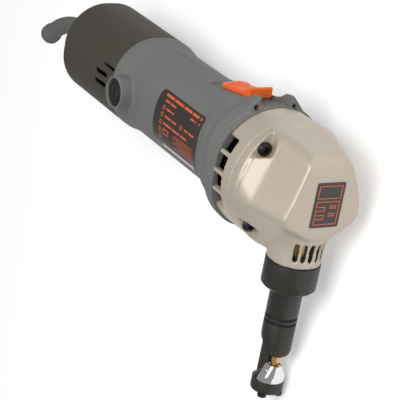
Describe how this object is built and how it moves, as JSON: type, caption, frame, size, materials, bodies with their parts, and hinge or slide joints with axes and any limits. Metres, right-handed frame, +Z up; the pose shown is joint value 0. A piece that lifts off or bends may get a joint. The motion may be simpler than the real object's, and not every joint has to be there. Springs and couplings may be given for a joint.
{
  "type": "electric nibbler",
  "caption": "Hand-held electric nibbler for sheet metal: round grip with slide switch, cast gear case, and an upright barrel with punch, die and lock nut.",
  "frame": {"origin": "middle of the bounding box, on the surface that the tool lies on", "axes": "+X along the motor from the cord towards the gear case, +Y opposite to the cutting head, +Z up; the tool lies on its side"},
  "size_m": [0.3764, 0.176, 0.0824],
  "materials": {
    "housing_plastic": "fine matt grain",
    "cover_plastic": "fine matt grain",
    "guard_rubber": "soft matt",
    "cap_plastic": "matt",
    "slider_plastic": "satin",
    "casting_paint": "satin lacquer",
    "screw_black": "black oxide",
    "head_black": "black oxide, satin",
    "punch_gold": "hard coated, polished",
    "die_steel": "ground and polished",
    "screw_zinc": "zinc plated",
    "bridge_plastic": "moulded",
    "bearing_steel": "ground",
    "lamination_steel": "stacked sheets, lacquered",
    "copper_wire": "enamelled wire",
    "copper_bars": "turned copper",
    "brass_sheet": "pressed",
    "spring_steel": "rolled strip",
    "carbon": "matt carbon",
    "shaft_steel": "ground",
    "fan_plastic": "moulded",
    "rod_plastic": "moulded",
    "switch_plastic": "moulded",
    "capacitor_can": "lacquered",
    "plate_aluminium": "machined",
    "bush_bronze": "turned",
    "gear_steel": "hobbed and greased"
  },
  "bodies": {
    "tool": {"motor_housing": "housing_plastic", "rear_cover": "cover_plastic", "cover_screws": "screw_zinc", "end_bridge": "bridge_plastic", "rear_bearing": "bearing_steel", "stator_core": "lamination_steel", "field_coils": "copper_wire", "brush_holders": "brass_sheet", "carbon_brushes": "carbon", "brush_springs": "spring_steel", "brush_caps": "cap_plastic", "front_bearing": "bearing_steel", "power_switch": "switch_plastic", "capacitor": "capacitor_can", "cord_guard": "guard_rubber", "cord_clamp": "bridge_plastic", "clamp_screws": "screw_zinc", "gear_ring": "casting_paint", "gear_case": "casting_paint", "case_screws": "screw_black", "bearing_plate": "plate_aluminium", "counter_bushes": "bush_bronze", "crank_bearings": "bearing_steel", "guide_bush": "bush_bronze"},
    "armature": {"armature_shaft": "shaft_steel", "armature_core": "lamination_steel", "armature_windings": "copper_wire", "commutator": "copper_bars", "cooling_fan": "fan_plastic"},
    "counter": {"countershaft": "gear_steel", "first_gear": "gear_steel"},
    "crank": {"crankshaft": "shaft_steel", "crank_gear": "gear_steel", "eccentric_roller": "bearing_steel"},
    "ram": {"ram": "shaft_steel", "ram_pin": "shaft_steel"},
    "punch_set": {"punch_holder": "shaft_steel", "punch": "punch_gold", "punch_pin": "shaft_steel"},
    "nut": {"lock_nut": "head_black"},
    "die_set": {"die_holder": "head_black", "die": "die_steel", "die_screws": "screw_black"},
    "switch": {"switch_slider": "slider_plastic", "switch_rod": "rod_plastic"}
  },
  "joints": [
    {"name": "armature_spin", "type": "hinge", "parent": "tool", "child": "armature", "pos_m": [0.12299, 0.0419, 0.04017], "axis": [1, 0, -0.0079], "continuous": true},
    {"name": "counter_spin", "type": "hinge", "parent": "tool", "child": "counter", "pos_m": [0.14582, 0.06037, 0.04444], "axis": [1, 0, -0.0079], "continuous": true},
    {"name": "crank_spin", "type": "hinge", "parent": "tool", "child": "crank", "pos_m": [0.16699, 0.0419, 0.03982], "axis": [1, 0, -0.0079], "continuous": true},
    {"name": "ram_stroke", "type": "slide", "parent": "tool", "child": "ram", "axis": [0.0019, 0.9722, 0.2343], "range_m": [-0.0022, 0.0022]},
    {"name": "die_turn", "type": "hinge", "parent": "tool", "child": "die_set", "pos_m": [0.16682, -0.04559, 0.01874], "axis": [0.0019, 0.9722, 0.2343], "continuous": true},
    {"name": "punch_turn", "type": "hinge", "parent": "ram", "child": "punch_set", "pos_m": [0.16686, -0.02615, 0.02342], "axis": [0.0019, 0.9722, 0.2343], "continuous": true},
    {"name": "nut_turn", "type": "hinge", "parent": "tool", "child": "nut", "pos_m": [0.16689, -0.00671, 0.02811], "axis": [0.0019, 0.9722, 0.2343], "range_deg": [0, 90]},
    {"name": "switch_slide", "type": "slide", "parent": "tool", "child": "switch", "axis": [1, 0, -0.0079], "range_m": [0, 0.008]}
  ],
  "couplings": [
    {"joint": "counter_spin", "follows": "armature_spin", "ratio": -0.35714},
    {"joint": "crank_spin", "follows": "armature_spin", "ratio": 0.12755},
    {"joint": "punch_turn", "follows": "die_turn", "ratio": 1}
  ]
}
